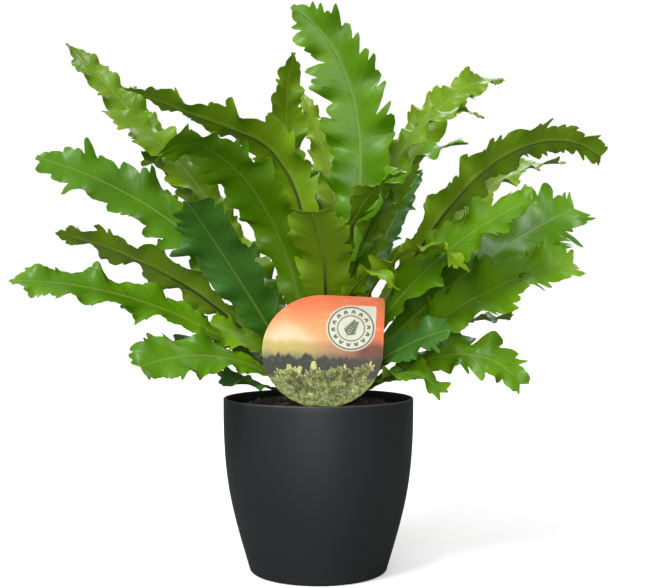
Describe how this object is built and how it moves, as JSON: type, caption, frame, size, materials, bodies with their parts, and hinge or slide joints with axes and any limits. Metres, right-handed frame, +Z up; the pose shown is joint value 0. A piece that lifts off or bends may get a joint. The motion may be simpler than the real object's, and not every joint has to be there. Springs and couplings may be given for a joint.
{
  "type": "potted fern",
  "caption": "Bushy bird's-nest fern with ragged wavy fronds in a smooth tapered round cover pot, with a round plant label on a stake.",
  "frame": {"origin": "centre of the cover pot's flat underside", "axes": "+Z up, -Y towards the front, where the label faces, +X to the right seen from the front"},
  "size_m": [0.4343, 0.3131, 0.4157],
  "materials": {
    "pot_plastic": "smooth anthracite, soft sheen",
    "nursery_plastic": "thin black film-like plastic",
    "soil": "moist crumbly peat mix",
    "crown": "fibrous root stock with brown scales",
    "label_card": "printed landscape on stiff plastic sheet",
    "frond": "mid green, waxy",
    "young_frond": "lime green, thin and translucent",
    "shaded_frond": "dark green with a bluish gloss"
  },
  "bodies": {
    "root": {"cover_pot": "pot_plastic", "nursery_pot": "nursery_plastic", "soil": "soil", "crown": "crown", "plant_label": "label_card", "tall_frond": "frond", "lime_frond": "young_frond", "narrow_frond": "young_frond", "hooked_frond": "frond", "front_frond_1": "frond", "front_frond_2": "frond", "left_frond_1": "young_frond", "left_frond_2": "young_frond", "left_frond_3": "frond", "left_frond_4": "frond", "left_frond_5": "shaded_frond", "left_frond_6": "frond", "left_frond_7": "frond", "left_frond_8": "frond", "left_frond_9": "frond", "left_frond_10": "shaded_frond", "right_frond_1": "young_frond", "right_frond_2": "young_frond", "right_frond_3": "frond", "right_frond_4": "frond", "right_frond_5": "shaded_frond", "right_frond_6": "frond", "right_frond_7": "young_frond", "right_frond_8": "frond", "right_frond_9": "frond", "right_frond_10": "frond", "right_frond_11": "young_frond", "right_frond_12": "shaded_frond", "right_frond_13": "frond", "right_frond_14": "frond", "back_frond_1": "frond", "back_frond_2": "young_frond", "back_frond_3": "frond", "back_frond_4": "frond", "back_frond_5": "young_frond", "back_frond_6": "frond", "back_frond_7": "frond", "back_frond_8": "frond", "back_frond_9": "shaded_frond", "back_frond_10": "shaded_frond", "back_frond_11": "frond", "back_frond_12": "shaded_frond", "back_frond_13": "frond"}
  },
  "joints": []
}
